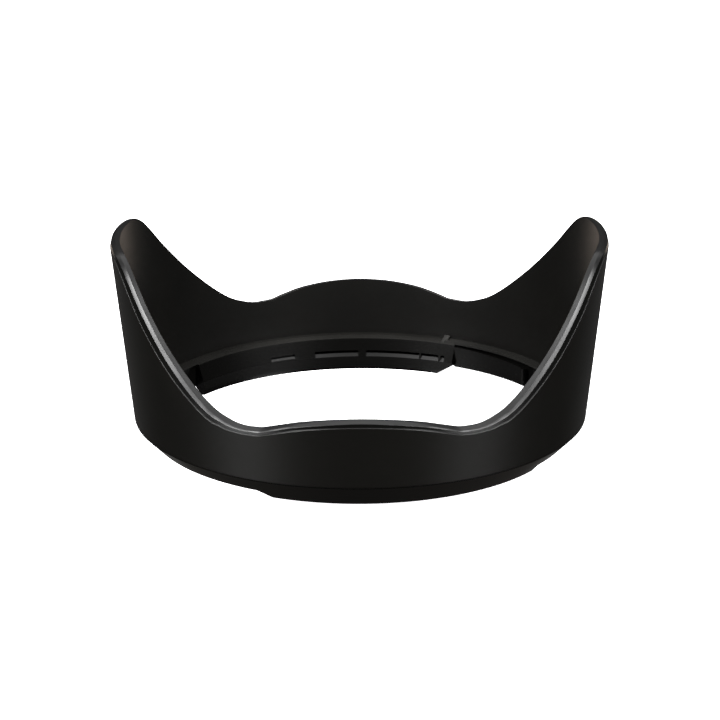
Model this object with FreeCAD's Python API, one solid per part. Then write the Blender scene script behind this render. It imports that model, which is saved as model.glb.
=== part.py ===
import FreeCAD, Part
import math
import os
from FreeCAD import Vector

# Petal lens hood with a two-lug bayonet. Millimetres, +Z up the optical axis towards the subject.
# Origin: on the axis, in the plane of the bayonet's lowest faces, on which the hood stands.
# The low petals are at -Y and +Y, the tall petals at -X and +X. Angles are counted in degrees from -Y
# towards +X. The bayonet repeats after half a turn.

# Driving dimensions
BASE_R = 47.5            # outer wall at its sharp lower edge
BASE_Z = 5.0
WALL_SLOPE = math.tan(math.radians(6.2))   # the wall opens by 6.2 degrees towards the subject
WALL_T = 2.22            # both shells together, measured radially
SHELL_T = 0.95           # outer shell alone
LIP_W = 0.35             # what shows of the outer shell at the rim
RIM_FALL = 0.30          # fall of the rim's top face, outwards, per millimetre
LIP_DROP = 1.30          # the lip's inner edge below the crest, square to the crest
LIP_FALL = 0.45          # fall of the lip's own face, outwards, per millimetre

LEDGE_Z = 6.78           # top of the bayonet ring over the lugs
FLANGE_Z = 7.30          # top of the ring everywhere else
FLANGE_T = 0.45
LEDGE_R = 43.2           # inner edge of the ledge
RING_R = 43.95           # the ring's inner wall between the lugs
FOOT_R = 42.5            # outer edge of the lowest face; the funnel rises at 45 degrees from it
HIGH_Z = 1.65            # lower edge of the ring between the lugs

LUG_R = 41.7             # inner face of the lugs, upright up to LUG_TOP and sloping to the ledge above
LUG_TOP = 2.9
LUG_START = -24.2        # angles of one lug; the other is half a turn round
LUG_END = 55.0
RAMP = 5.1               # length in degrees of the sloping end of the lug
RAMP_TOP = 2.3           # height that it reaches
SLOT_TOP = 4.17          # slots in the lug's face, above its upright part
SLOT_R = 43.4            # back of a slot
BEVEL = 0.65             # bevel in front of a slot
SLOTS = [(-26.5, -25.3), (-24.6, -18.95), (-18.4, -1.9), (0.55, 13.8)]   # start and end angle
ENTRY = (20.2, 28.1)     # shallower slot at the other end
ENTRY_R = 42.7
ENTRY_Z = 3.2
ENTRY_BEVEL = 0.4

TONGUE_R = 42.8          # inner face of a click tongue
TONGUE_T = 0.7
TONGUE_Z = (1.85, 6.1)   # lower edge, and the upper edge half way along
TONGUE_TAPER = 1.9       # fall of the upper edge towards the free end, in degrees
TONGUE_TIP = -57.0
ROOT_GAP = 0.08          # clearance in degrees between the tongue's root and the lug's end
NIB_R = 0.55             # the rounded click nib at the free end
NIB_ANGLE = -56.2
STOP_ANGLES = (-26.3, -24.7)   # small wedge on the ledge, beside the lug's sloping end
STOP_TOP = (6.95, 7.95)        # height of the wedge at its inner and outer edge

# Crest of the rim: angle from the middle of a low petal, and height. A quarter turn; the rest mirrors it.
CREST = [(0, 19.5), (8, 19.15), (15, 18.33), (21, 17.2), (26, 16.35), (29.5, 16.25), (33, 16.8),
         (38, 18.5), (44, 22.0), (52, 27.65), (60, 34.0), (68, 40.6), (73, 42.9), (78, 43.45), (90, 43.45)]
RIM_STEP = 3             # degrees between the points that the shells' splines pass through
SECTOR = 30              # degrees round the axis that one face of a shell covers
TOP_Z = 12.0             # above the whole bayonet


def wall_r(z):
    """Radius of the outer wall at a height."""
    return BASE_R + WALL_SLOPE * (z - BASE_Z)


def at(r, angle, z):
    """Point at a radius, an angle from -Y and a height."""
    a = math.radians(angle)
    return Vector(r * math.sin(a), -r * math.cos(a), z)


def folded(angle):
    """Angle from the nearest low petal's middle, 0 to 90."""
    return abs((angle + 90.0) % 180.0 - 90.0)


def crest(angle):
    """Height of the crest, by cubic pieces through CREST with level ends."""
    a = folded(angle)
    pts = [(-CREST[1][0], CREST[1][1])] + CREST + [(180 - CREST[-2][0], CREST[-2][1])]
    i = 1
    while i < len(pts) - 3 and a > pts[i + 1][0]:
        i += 1
    (xa, ya), (x0, y0), (x1, y1), (xb, yb) = pts[i - 1:i + 3]
    m0 = (y1 - ya) / (x1 - xa)
    m1 = (yb - y0) / (xb - x0)
    d = x1 - x0
    t = (a - x0) / d
    return ((2 * t**3 - 3 * t**2 + 1) * y0 + (t**3 - 2 * t**2 + t) * d * m0
            + (3 * t**2 - 2 * t**3) * y1 + (t**3 - t**2) * d * m1)


def steepness(angle):
    """Length along the crest for each unit round the hood."""
    rise = (crest(angle + 0.5) - crest(angle - 0.5)) / math.radians(1.0)
    return math.hypot(1.0, rise / wall_r(crest(angle)))


def rim_height(angle, depth):
    """Height of the rim's top face at a radial depth inside the outer wall."""
    return crest(angle) - RIM_FALL * (WALL_T - depth) * steepness(angle)


def lip_height(angle, depth):
    """Height of the lip's face at a radial depth inside the outer wall."""
    return crest(angle) - (LIP_DROP + LIP_FALL * (LIP_W - depth)) * steepness(angle)


def ring_curve(points):
    """Closed spline through one point for each RIM_STEP, whose parameter is the angle."""
    curve = Part.BSplineCurve()
    curve.interpolate(points, PeriodicFlag=True, Parameters=list(range(0, 361, RIM_STEP)))
    return curve


def ringed(section):
    """Solid from an outline of (radius, height) corners that changes with the angle."""
    angles = range(0, 360, RIM_STEP)
    outlines = [section(angle) for angle in angles]
    rings = []
    for corner in range(len(outlines[0])):
        rings.append(ring_curve([at(outline[corner][0], angle, outline[corner][1])
                                 for angle, outline in zip(angles, outlines)]))
    faces = []
    for start in range(0, 360, SECTOR):
        edges = []
        for ring in rings:
            piece = ring.copy()
            piece.segment(start, start + SECTOR)
            edges.append(piece.toShape())
        for edge, after in zip(edges, edges[1:] + edges[:1]):
            faces.append(Part.makeRuledSurface(edge, after))
    shell = Part.makeShell(faces)
    shell.sewShape()
    return Part.makeSolid(shell)


def turned(points, start=0.0, end=360.0):
    """Solid from an outline of (radius, height) points turned from one angle to another."""
    ring = [at(r, start, z) for r, z in points]
    face = Part.Face(Part.makePolygon(ring + ring[:1]))
    return face.revolve(Vector(0, 0, 0), Vector(0, 0, 1), end - start)


def twice(shape):
    """A shape and its copy half a turn round."""
    other = shape.copy()
    other.rotate(Vector(0, 0, 0), Vector(0, 0, 1), 180)
    return [shape, other]


def wall_point(depth, z):
    """Corner of an outline at a radial depth inside the outer wall."""
    return (wall_r(z) - depth, z)


def shell_section(angle):
    """Outer shell: a thin wall whose upper edge lies under the baffle's crest, apart from its lip."""
    return [wall_point(SHELL_T, BASE_Z), wall_point(0, BASE_Z), wall_point(0, lip_height(angle, 0)),
            wall_point(SHELL_T, lip_height(angle, SHELL_T))]


def baffle_section(angle):
    """Inner shell: stands on the ring's ledge, and its crest caps the outer shell's edge."""
    return [wall_point(WALL_T, FLANGE_Z), wall_point(SHELL_T, FLANGE_Z),
            wall_point(SHELL_T, lip_height(angle, SHELL_T)), wall_point(LIP_W, lip_height(angle, LIP_W)),
            wall_point(LIP_W, rim_height(angle, LIP_W)), wall_point(WALL_T, rim_height(angle, WALL_T))]


def ring_body():
    """Funnel, shoulder and flange, the same all the way round, before the lugs are added."""
    shoulder_r = wall_r(BASE_Z) - SHELL_T
    return turned([(RING_R, HIGH_Z), (FOOT_R + HIGH_Z, HIGH_Z), (BASE_R, BASE_Z), (shoulder_r, BASE_Z),
                   (wall_r(FLANGE_Z) - SHELL_T, FLANGE_Z), (LEDGE_R, FLANGE_Z),
                   (LEDGE_R, FLANGE_Z - FLANGE_T), (RING_R, FLANGE_Z - FLANGE_T)])


def lug():
    """One lug: a foot below the funnel, and a wall that slopes back to the ledge above its upright part."""
    return turned([(LUG_R, 0), (FOOT_R, 0), (FOOT_R + HIGH_Z, HIGH_Z), (RING_R + 0.1, HIGH_Z),
                   (RING_R + 0.1, FLANGE_Z - 0.1), (LEDGE_R, FLANGE_Z - 0.1), (LUG_R, LUG_TOP)],
                  LUG_START - RAMP, LUG_END)


def lug_slope():
    """What is cut from under the lug's sloping end."""
    outline = [(LUG_START, -0.01), (LUG_START - RAMP, RAMP_TOP), (LUG_START - RAMP - 2, RAMP_TOP),
               (LUG_START - RAMP - 2, -1), (LUG_START, -1)]
    ends = []
    for r in (LUG_R - 2, FOOT_R + 4):
        ring = [at(r, angle, z) for angle, z in outline]
        ends.append(Part.makePolygon(ring + ring[:1]))
    return Part.makeLoft(ends, True, True)


def slot(front, floor, bevel, back, start, end):
    """Space of one slot in a lug's face, with a bevel up to its floor."""
    return turned([(front - 1, floor), (front, floor), (front + bevel, floor + bevel), (back, floor + bevel),
                   (back, SLOT_TOP), (front - 1, SLOT_TOP)], start, end)


def ledge_cut():
    """Space that lowers the ledge over a lug."""
    return turned([(LUG_R - 1, LEDGE_Z), (wall_r(FLANGE_Z) - WALL_T, LEDGE_Z),
                   (wall_r(FLANGE_Z) - WALL_T, TOP_Z), (LUG_R - 1, TOP_Z)], LUG_START - 1.5, LUG_END)


def stop_block():
    """Wedge that stands on the ledge against the shell's foot."""
    return turned([(LEDGE_R, LEDGE_Z - 0.1), (wall_r(FLANGE_Z) - WALL_T, LEDGE_Z - 0.1),
                   (wall_r(FLANGE_Z) - WALL_T, STOP_TOP[1]), (LEDGE_R, STOP_TOP[0])], *STOP_ANGLES)


def bayonet_ring():
    ring = ring_body()
    for part in twice(lug().cut(lug_slope())):
        ring = ring.fuse(part)
    cuts = [slot(LUG_R, LUG_TOP, BEVEL, SLOT_R, *span) for span in SLOTS]
    cuts.append(slot(LUG_R + 0.1, ENTRY_Z, ENTRY_BEVEL, ENTRY_R, *ENTRY))
    cuts.append(ledge_cut())
    for cut in cuts:
        for part in twice(cut):
            ring = ring.cut(part)
    for part in twice(stop_block()):
        ring = ring.fuse(part)
    return ring.removeSplitter()


def click_tongue():
    """Springy tongue beside a lug: root at the lug, tapering to a nib at the free end."""
    z0, z1 = TONGUE_Z
    root = LUG_START - RAMP - ROOT_GAP
    outer_r = TONGUE_R + TONGUE_T
    strip = turned([(TONGUE_R, z0), (outer_r, z0), (outer_r, z1 + 1), (TONGUE_R, z1 + 1)], TONGUE_TIP, root)
    nib = Part.makeCylinder(NIB_R, z1 - z0, at(TONGUE_R + 0.1, NIB_ANGLE, z0 + 0.3))
    middle = (root + TONGUE_TIP) / 2
    above = Part.makeBox(60, 60, 5, Vector(-30, -30, 0))
    above.rotate(Vector(0, 0, 0), at(1, middle, 0), TONGUE_TAPER)
    above.translate(at(TONGUE_R, middle, z1))
    return strip.fuse(nib).cut(above).removeSplitter()


def main():
    os.makedirs("parts", exist_ok=True)
    tongues = twice(click_tongue())
    nodes = {
        "outer_shell": ringed(shell_section),
        "inner_baffle": ringed(baffle_section),
        "bayonet_ring": bayonet_ring(),
        "click_tongue_1": tongues[0],
        "click_tongue_2": tongues[1],
    }
    for name, shape in nodes.items():
        shape.exportStep("parts/" + name + ".step")
        box = shape.BoundBox
        print(name, shape.isValid(), len(shape.Solids), round(shape.Volume, 1),
              [round(v, 2) for v in (box.XMin, box.XMax, box.YMin, box.YMax, box.ZMin, box.ZMax)])


main()
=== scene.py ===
import bpy
import math
from mathutils import Matrix, Vector

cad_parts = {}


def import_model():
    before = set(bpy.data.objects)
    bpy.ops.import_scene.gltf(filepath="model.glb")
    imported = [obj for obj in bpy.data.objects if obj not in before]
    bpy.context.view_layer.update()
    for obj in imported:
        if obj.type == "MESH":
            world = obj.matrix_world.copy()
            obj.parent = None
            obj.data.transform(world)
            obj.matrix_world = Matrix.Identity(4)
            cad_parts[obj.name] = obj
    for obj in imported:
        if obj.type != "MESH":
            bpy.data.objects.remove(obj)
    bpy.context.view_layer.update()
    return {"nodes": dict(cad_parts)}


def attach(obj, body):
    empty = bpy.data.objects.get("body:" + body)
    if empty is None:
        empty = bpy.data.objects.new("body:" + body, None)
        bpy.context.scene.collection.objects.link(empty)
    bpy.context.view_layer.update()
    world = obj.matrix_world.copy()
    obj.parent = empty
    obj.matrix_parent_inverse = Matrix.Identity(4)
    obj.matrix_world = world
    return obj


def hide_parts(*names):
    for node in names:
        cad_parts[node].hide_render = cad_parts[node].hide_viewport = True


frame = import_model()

# Petal lens hood. Lengths are in millimetres and become metres through MM, except where metres are named.
# +Z is the optical axis. Angles are degrees from -Y towards +X. The low petals are at -Y and +Y, the tall
# ones at -X and +X.
MM = 0.001
BASE_R = 47.5            # radius of the outer wall at its lower edge
BASE_Z = 5.0             # height of that edge
WALL_SLOPE = math.tan(math.radians(6.2))     # the wall's flare
WALL_T = 2.22            # both shells together, measured radially
SHELL_T = 0.95           # outer shell alone
LEDGE_Z = 6.78           # the ring's ledge, over its lugs
FLANGE_Z = 7.30          # the inner baffle stands on the bayonet ring here
RIM_ROUND = 0.15         # roundings, as radii: the crest's inner edge,
FACET_ROUND = 0.20       # the edge between the rim's two facets,
STEP_ROUND = 0.10        # the top of the step,
LIP_ROUND = 0.10         # the lip's outer edge,
FOOT_ROUND = 0.25        # and the outer shell's lower edge
EDGE_ROUND = 0.07        # width of the bevel on the ring's and the tongues' edges
STEP_OVERLAP = 0.05      # how far the step sinks into the outer shell's top, so that no gap shows
LIP_CREASE = 0.02        # width of the strip that keeps the lip's inner edge crisp
STEP_CREASE = 0.04       # the same at the foot of the step, as a share of the step's height
SIDE_RINGS = (0.6, 1.6)  # heights over the lower edge of two rings of points that keep its shading even
WALL_RUN = 3.0           # a stretch of wall that gives a rounding its direction
COLUMNS = 720            # faces round the hood
ARC = 4                  # segments in a rounding
ROUND_SHARE = 0.45       # a rounding takes no more than this share of a side next to it
BEVEL_SEGMENTS = 2
SHARP = 40               # degrees: edges that turn more than this are bevelled
SLOPE_SPAN = 1.0         # degrees over which the crest's slope is measured
FACE_WEIGHT = 90         # how much large faces set the shading of the edges next to them

# Crest of the rim: angle from the middle of a low petal, and height. A quarter turn; the rest mirrors it.
CREST = [(0, 19.5), (8, 19.15), (15, 18.33), (20, 17.32), (24, 16.46), (25, 16.33), (29.5, 16.22), (33, 16.8),
         (38, 18.5), (44, 22.0), (52, 27.65), (60, 34.0), (68, 40.6), (73, 42.9), (78, 43.45), (90, 43.45)]

# Profile of the rim, square to the crest, at angles from the middle of a low petal. Each pair is a radial
# depth and a drop below the crest: the edge between the two facets, the outer edge, and the lip's inner edge.
# The last number is the drop across the lip.
RIM = [(0, (1.70, 0.10), (0.28, 0.50), (0.24, 1.22), 0.12),
       (10, (1.45, 0.12), (0.28, 0.58), (0.26, 1.18), 0.14),
       (18, (0.56, 0.37), (0.30, 0.62), (0.28, 1.14), 0.20),
       (21, (0.50, 0.44), (0.30, 0.74), (0.28, 1.14), 0.22),
       (24, (0.52, 0.53), (0.30, 0.78), (0.28, 1.14), 0.23),
       (30, (0.58, 0.46), (0.30, 0.70), (0.28, 1.10), 0.23),
       (34, (0.76, 0.50), (0.32, 0.84), (0.31, 1.42), 0.22),
       (37.5, (0.92, 0.55), (0.34, 0.99), (0.31, 1.80), 0.20),
       (42, (1.00, 0.46), (0.38, 1.05), (0.23, 1.88), 0.17),
       (50, (1.13, 0.28), (0.46, 0.92), (0.16, 2.00), 0.07),
       (60, (1.16, 0.06), (0.52, 0.62), (0.10, 1.98), 0.02),
       (68, (1.16, 0.06), (0.52, 0.60), (0.10, 1.80), 0.02),
       (76, (1.20, 0.12), (0.40, 0.46), (0.12, 1.40), 0.03),
       (90, (1.20, 0.12), (0.30, 0.45), (0.12, 1.30), 0.03)]

# How many sides at the end of an outline have the rim's plastic, and which sides have the step's instead.
SHELL_RIM_SIDES = 3
BAFFLE_RIM_SIDES = 3 * ARC + 4
STEP_SIDES = (3 * ARC + 4, 3 * ARC + 5)

# Plastic: spreads are shares of the colour or the roughness, over the middle band of a noise.
NOISE_BAND = (0.3, 0.7)
TONE_SPREAD = (0.8, 1.25)
GLOSS_SPREAD = (0.94, 1.06)
CLOUD_SCALE = 60.0                           # patches of tone to a metre
CLOUD_DETAIL = 4.0
GRAIN_DETAIL = 3.0
GRAIN_ROUGH = 0.6                            # how strong the grain's finer layers are
LEDGE_HIGHLIGHT_FADE = (0.15, 0.02)                    # below the ledge, where the painted highlight on the ledge's top starts and is full
LEDGE_HIGHLIGHT_TONE = 6.5                             # the painted highlight's lighter tone, as a multiple of the colour
VELVET_TINT = (1.0, 0.82, 0.66, 1.0)
VELVET_ROUGH = 0.3

# Stage, in metres and watts.
AIM = (0.0, 0.0, 0.02)                       # the point on the hood's axis that every light faces
LIGHT_DISTANCE = 0.9
WHITE = (1.0, 1.0, 1.0)
WARM = (1.0, 0.93, 0.84)
GLOW = (1.0, 0.82, 0.68)
# Name, azimuth, elevation, width, height, power and colour.
LIGHTS = [("key_left", -54, 44, 0.36, 0.36, 16.0, WHITE),
          ("key_right", 54, 44, 0.36, 0.36, 12.5, WHITE),
          ("top", 180, 74, 1.3, 1.2, 7.8, WHITE),
          ("under", 180, -50, 0.9, 0.9, 0.13, WARM),
          ("back", 180, 28, 1.6, 0.5, 0.12, WHITE),
          ("glow_left", 164, -8, 0.34, 0.16, 0.15, GLOW),
          ("glow_right", -164, -8, 0.34, 0.16, 0.15, GLOW),
          ("back_low", 180, -20, 1.6, 0.5, 0.22, WHITE),
          ("low_left", -58, -28, 0.36, 0.36, 0.62, WHITE),
          ("low_right", 58, -28, 0.36, 0.36, 0.54, WHITE)]
FLOOR_HALF = 6.0
FLOOR_TONE = (0.9, 0.9, 0.9, 1)
FLOOR_ROUGH = 0.9
FLOOR_GLOW = 1.1
DISC_R = 0.039
DISC_Z = -0.0005
DISC_STEP = 5                                # degrees between the disc's corners
DISC_TONE = (0.02, 0.02, 0.02, 1)
ROOM_LIGHT = 0.01
CAMERA_PLACE = (0, -0.59838, 0.21543)
CAMERA_DOWN = 18.44                          # degrees that the camera looks down
CAMERA_ROLL = -0.26                          # degrees about its own axis
CAMERA_LENS = 150.28                         # millimetres, for a sensor 36 millimetres wide
CAMERA_SENSOR = 36.0
CAMERA_NEAR = 0.01


# ---------------------------------------------------------------- shape

def wall_r(z):
    """Radius of the outer wall at a height."""
    return BASE_R + WALL_SLOPE * (z - BASE_Z)


def quarter(angle):
    """Angle from the middle of the nearest low petal, 0 to 90 degrees."""
    return abs((angle + 90.0) % 180.0 - 90.0)


def crest(angle):
    """Height of the crest, by cubic pieces through CREST with level ends."""
    a = quarter(angle)
    pts = [(-CREST[1][0], CREST[1][1])] + CREST + [(180 - CREST[-2][0], CREST[-2][1])]
    i = 1
    while i < len(pts) - 3 and a > pts[i + 1][0]:
        i += 1
    (xa, ya), (x0, y0), (x1, y1), (xb, yb) = pts[i - 1:i + 3]
    m0 = (y1 - ya) / (x1 - xa)
    m1 = (yb - y0) / (xb - x0)
    d = x1 - x0
    t = (a - x0) / d
    return ((2 * t**3 - 3 * t**2 + 1) * y0 + (t**3 - 2 * t**2 + t) * d * m0
            + (3 * t**2 - 2 * t**3) * y1 + (t**3 - t**2) * d * m1)


def steepness(angle):
    """Length along the crest for each unit round the hood."""
    rise = (crest(angle + SLOPE_SPAN / 2) - crest(angle - SLOPE_SPAN / 2)) / math.radians(SLOPE_SPAN)
    return math.hypot(1.0, rise / wall_r(crest(angle)))


def rim_profile(angle):
    """Facet edge, outer edge, lip's inner edge and drop across the lip at an angle, interpolated in RIM."""
    a = quarter(angle)
    i = 0
    while i < len(RIM) - 2 and a > RIM[i + 1][0]:
        i += 1
    here = RIM[i]
    there = RIM[i + 1]
    t = (a - here[0]) / (there[0] - here[0])
    t = t * t * (3 - 2 * t)
    edges = [tuple(Vector(p).lerp(Vector(q), t)) for p, q in zip(here[1:4], there[1:4])]
    return edges + [here[4] + (there[4] - here[4]) * t]


def rounded(before, corner, after, radius):
    """Points of an arc that replaces a corner between two others, in plane coordinates."""
    corner = Vector(corner)
    a = Vector(before) - corner
    b = Vector(after) - corner
    longest = min(a.length, b.length) * ROUND_SHARE
    a.normalize()
    b.normalize()
    half = a.angle(b) / 2
    reach = min(radius / math.tan(half), longest)
    radius = reach * math.tan(half)
    centre = corner + (a + b).normalized() * (radius / math.sin(half))
    start = corner + a * reach - centre
    end = corner + b * reach - centre
    turn = start.angle_signed(end)
    return [tuple(centre + Matrix.Rotation(-turn * k / ARC, 2) @ start) for k in range(ARC + 1)]


def swept(name, section, body, mats, rim, steps=()):
    """Closed ring through a (radius, height) outline that changes with the angle.

    The last `rim` sides before the closing one carry the second material, and the sides in `steps` the third.
    """
    verts = []
    for k in range(COLUMNS):
        angle = 360.0 * k / COLUMNS
        a = math.radians(angle)
        outline = section(angle)
        for r, z in outline:
            verts.append((r * math.sin(a) * MM, -r * math.cos(a) * MM, z * MM))
    n = len(outline)
    faces = []
    for k in range(COLUMNS):
        k1 = (k + 1) % COLUMNS
        for i in range(n):
            j = (i + 1) % n
            faces.append((k * n + i, k1 * n + i, k1 * n + j, k * n + j))
    mesh = bpy.data.meshes.new(name)
    mesh.from_pydata(verts, [], faces)
    mesh.shade_smooth()
    for mat in mats:
        mesh.materials.append(mat)
    for face in mesh.polygons:
        side = face.index % n
        if side in steps:
            face.material_index = 2
        elif n - 2 - rim < side < n - 1:
            face.material_index = 1
    piece = bpy.data.objects.new(name, mesh)
    bpy.context.scene.collection.objects.link(piece)
    normals = piece.modifiers.new("normals", "WEIGHTED_NORMAL")
    normals.weight = FACE_WEIGHT
    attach(piece, body)
    return piece


def from_rim(angle, points):
    """Outline corners given as (radial depth, drop square to the crest) as (radius, height)."""
    top = crest(angle)
    s = steepness(angle)
    out = []
    for depth, drop in points:
        z = top - drop * s
        out.append((wall_r(z) - depth, z))
    return out


def shell_section(angle):
    """Outer shell: thin wall with a rounded lower edge and a narrow lip."""
    lip, fall = rim_profile(angle)[2:]
    edge = (0.0, lip[1] + fall)
    below = (0.0, edge[1] + WALL_RUN)
    rim = rounded(below, edge, lip, LIP_ROUND)
    rim += [lip, (lip[0] + LIP_CREASE, lip[1]), (SHELL_T, lip[1])]
    foot = (BASE_R - SHELL_T, BASE_Z)
    above = (wall_r(BASE_Z + WALL_RUN), BASE_Z + WALL_RUN)
    low = rounded(foot, (BASE_R, BASE_Z), above, FOOT_ROUND)
    side = [(wall_r(BASE_Z + h), BASE_Z + h) for h in SIDE_RINGS]
    return [foot] + low + side + from_rim(angle, rim)


def baffle_section(angle):
    """Inner shell: its crest has an inner and an outer facet, and a step down to the lip."""
    facet, outer, lip = rim_profile(angle)[:3]
    inner = (WALL_T, 0.0)
    below = (WALL_T, WALL_RUN)
    step = (lip[0], lip[1] + STEP_OVERLAP)
    crease = Vector(step).lerp(Vector(outer), STEP_CREASE)
    rim = rounded(below, inner, facet, RIM_ROUND)
    rim += rounded(inner, facet, outer, FACET_ROUND)
    rim += rounded(facet, outer, step, STEP_ROUND)
    rim += [tuple(crease), step, (SHELL_T, step[1])]
    low = [(wall_r(FLANGE_Z) - SHELL_T, FLANGE_Z), (wall_r(FLANGE_Z) - WALL_T, FLANGE_Z)]
    return low + from_rim(angle, rim)


# ---------------------------------------------------------------- materials

def preset(node, **values):
    """Sets a node's input sockets. A socket's name has _ for each space."""
    for socket, value in values.items():
        node.inputs[socket.replace("_", " ")].default_value = value


def plastic(name, colour, rough, grain, relief, specular, ledge=None, velvet=0.0):
    """Moulded black plastic: slightly uneven colour and gloss, and a fine grain of that size and relief.

    With a ledge height, the plastic is painted lighter above it: a painted highlight on the ledge's top.
    """
    mat = bpy.data.materials.new(name)
    mat.use_nodes = True
    nodes = mat.node_tree.nodes
    link = mat.node_tree.links.new
    shader = nodes["Principled BSDF"]
    where = nodes.new("ShaderNodeTexCoord")

    cloud = nodes.new("ShaderNodeTexNoise")
    preset(cloud, Scale=CLOUD_SCALE, Detail=CLOUD_DETAIL)
    link(where.outputs["Object"], cloud.inputs["Vector"])
    tint = nodes.new("ShaderNodeValToRGB")
    for stop, place, share in zip(tint.color_ramp.elements, NOISE_BAND, TONE_SPREAD):
        stop.position = place
        stop.color = [c * share for c in colour] + [1.0]
    link(cloud.outputs["Fac"], tint.inputs["Fac"])
    paint = tint.outputs["Color"]
    # Painted highlight: the colour is made lighter above the ledge height, so that the ledge's top looks lit.
    if ledge:
        height = nodes.new("ShaderNodeSeparateXYZ")
        link(where.outputs["Object"], height.inputs["Vector"])
        above = nodes.new("ShaderNodeMapRange")
        preset(above, From_Min=(ledge - LEDGE_HIGHLIGHT_FADE[0]) * MM, From_Max=(ledge - LEDGE_HIGHLIGHT_FADE[1]) * MM,
               To_Min=1.0, To_Max=LEDGE_HIGHLIGHT_TONE)
        link(height.outputs["Z"], above.inputs["Value"])
        scale = nodes.new("ShaderNodeVectorMath")
        scale.operation = "SCALE"
        link(paint, scale.inputs[0])
        link(above.outputs["Result"], scale.inputs["Scale"])
        paint = scale.outputs["Vector"]
    link(paint, shader.inputs["Base Color"])
    preset(shader, Specular_IOR_Level=specular, Sheen_Weight=velvet, Sheen_Roughness=VELVET_ROUGH,
           Sheen_Tint=VELVET_TINT)

    fine = nodes.new("ShaderNodeTexNoise")
    preset(fine, Scale=1.0 / (grain * MM), Detail=GRAIN_DETAIL, Roughness=GRAIN_ROUGH)
    link(where.outputs["Object"], fine.inputs["Vector"])
    gloss = nodes.new("ShaderNodeMapRange")
    preset(gloss, From_Min=NOISE_BAND[0], From_Max=NOISE_BAND[1], To_Min=rough * GLOSS_SPREAD[0],
           To_Max=rough * GLOSS_SPREAD[1])
    link(fine.outputs["Fac"], gloss.inputs["Value"])
    link(gloss.outputs["Result"], shader.inputs["Roughness"])

    bump = nodes.new("ShaderNodeBump")
    preset(bump, Strength=1.0, Distance=relief * MM)
    link(fine.outputs["Fac"], bump.inputs["Height"])
    link(bump.outputs["Normal"], shader.inputs["Normal"])
    return mat


def dress(piece, mat):
    """Gives a whole piece one material, and bevels its sharp edges."""
    piece.data.materials.clear()
    piece.data.materials.append(mat)
    edges = piece.modifiers.new("edges", "BEVEL")
    edges.width = EDGE_ROUND * MM
    edges.segments = BEVEL_SEGMENTS
    edges.limit_method = "ANGLE"
    edges.angle_limit = math.radians(SHARP)
    edges.harden_normals = True


# ---------------------------------------------------------------- stage

def softbox(name, azimuth, elevation, width, height, power, colour):
    """Rectangular light at an azimuth from -Y towards +X, turned to face AIM."""
    data = bpy.data.lights.new(name, "AREA")
    data.shape = "RECTANGLE"
    data.size = width
    data.size_y = height
    data.energy = power
    data.color = colour
    lamp = bpy.data.objects.new(name, data)
    a = math.radians(azimuth)
    e = math.radians(elevation)
    target = Vector(AIM)
    away = Vector((math.sin(a) * math.cos(e), -math.cos(a) * math.cos(e), math.sin(e)))
    lamp.location = target + LIGHT_DISTANCE * away
    lamp.rotation_euler = (lamp.location - target).to_track_quat("Z", "Y").to_euler()
    lamp.visible_camera = False
    bpy.context.scene.collection.objects.link(lamp)


def flat_piece(name, corners, paper):
    """Flat piece of the stage through corners in order, with a plain material of its own."""
    mesh = bpy.data.meshes.new(name)
    mesh.from_pydata(corners, [], [tuple(range(len(corners)))])
    obj = bpy.data.objects.new(name, mesh)
    bpy.context.scene.collection.objects.link(obj)
    mat = bpy.data.materials.new(paper)
    mat.use_nodes = True
    mesh.materials.append(mat)
    return obj, mat.node_tree.nodes["Principled BSDF"]


def floor():
    """Plain pale floor under the hood. Only the camera sees it, so it lights nothing."""
    s = FLOOR_HALF
    obj, shader = flat_piece("floor", [(-s, -s, 0), (s, -s, 0), (s, s, 0), (-s, s, 0)], "floor_paper")
    preset(shader, Base_Color=FLOOR_TONE, Roughness=FLOOR_ROUGH, Specular_IOR_Level=0.0,
           Emission_Color=(1, 1, 1, 1), Emission_Strength=FLOOR_GLOW)
    obj.visible_glossy = False
    obj.visible_diffuse = False
    obj.visible_shadow = False


def dark_disc():
    """Small dark disc just under the floor, which keeps the low lights off the inside of the ring."""
    turns = [math.radians(a) for a in range(0, 360, DISC_STEP)]
    corners = [(DISC_R * math.sin(t), DISC_R * math.cos(t), DISC_Z) for t in turns]
    obj, shader = flat_piece("mat", corners, "mat_paper")
    preset(shader, Base_Color=DISC_TONE)
    obj.visible_diffuse = False


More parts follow.
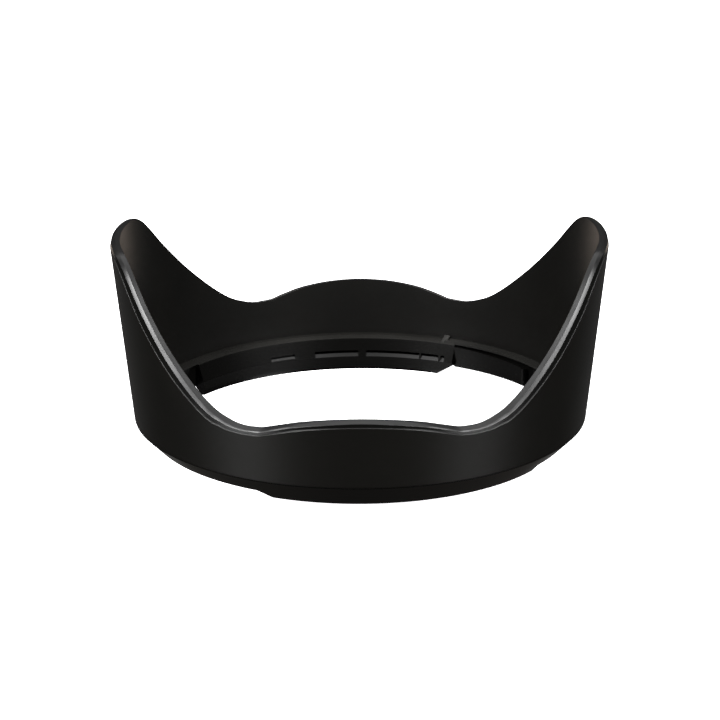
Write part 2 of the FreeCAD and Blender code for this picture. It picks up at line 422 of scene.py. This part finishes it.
def camera():
    """Camera in front of a low petal, looking down at the hood."""
    data = bpy.data.cameras.new("camera")
    data.lens = CAMERA_LENS
    data.sensor_width = CAMERA_SENSOR
    data.clip_start = CAMERA_NEAR
    cam = bpy.data.objects.new("camera", data)
    pitch = Matrix.Rotation(math.pi / 2 - math.radians(CAMERA_DOWN), 4, "X")
    roll = Matrix.Rotation(math.radians(CAMERA_ROLL), 4, "Z")
    cam.matrix_world = Matrix.Translation(CAMERA_PLACE) @ (pitch @ roll)
    bpy.context.scene.collection.objects.link(cam)
    bpy.context.scene.camera = cam


def world():
    """Even, dim room light."""
    room = bpy.data.worlds.new("room")
    room.use_nodes = True
    preset(room.node_tree.nodes["Background"], Color=(1, 1, 1, 1), Strength=ROOM_LIGHT)
    bpy.context.scene.world = room


camera()
world()
floor()
dark_disc()
for light in LIGHTS:
    softbox(*light)

# Grain and relief are in millimetres.
shell_mat = plastic("shell_black", (0.0034, 0.0031, 0.0024), rough=0.42, grain=0.25, relief=0.010,
                    specular=0.45)
baffle_mat = plastic("baffle_black", (0.0026, 0.0024, 0.0020), rough=0.39, grain=0.22, relief=0.010,
                     specular=0.36, velvet=0.02)
rim_mat = plastic("rim_black", (0.003, 0.003, 0.003), rough=0.33, grain=0.2, relief=0.003, specular=0.36)
step_mat = plastic("step_black", (0.0034, 0.0034, 0.003), rough=0.24, grain=0.2, relief=0.001, specular=0.8)
# The ring's plastic carries a painted highlight on the ledge's top, above the ledge height.
ring_mat = plastic("ring_black", (0.0018, 0.00175, 0.0016), rough=0.21, grain=0.6, relief=0.0006,
                   specular=0.35, ledge=LEDGE_Z)
tongue_mat = plastic("tongue_black", (0.0018, 0.00175, 0.0016), rough=0.21, grain=0.6, relief=0.0006,
                     specular=0.35)

shell = swept("shell_wall", shell_section, "hood", (shell_mat, rim_mat), SHELL_RIM_SIDES)
baffle = swept("baffle_wall", baffle_section, "hood", (baffle_mat, rim_mat, step_mat),
               BAFFLE_RIM_SIDES, STEP_SIDES)
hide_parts("outer_shell")
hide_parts("inner_baffle")
dress(frame["nodes"]["bayonet_ring"], ring_mat)
dress(frame["nodes"]["click_tongue_1"], tongue_mat)
dress(frame["nodes"]["click_tongue_2"], tongue_mat)

view = bpy.context.scene.view_settings
view.view_transform = "Standard"
view.look = "None"
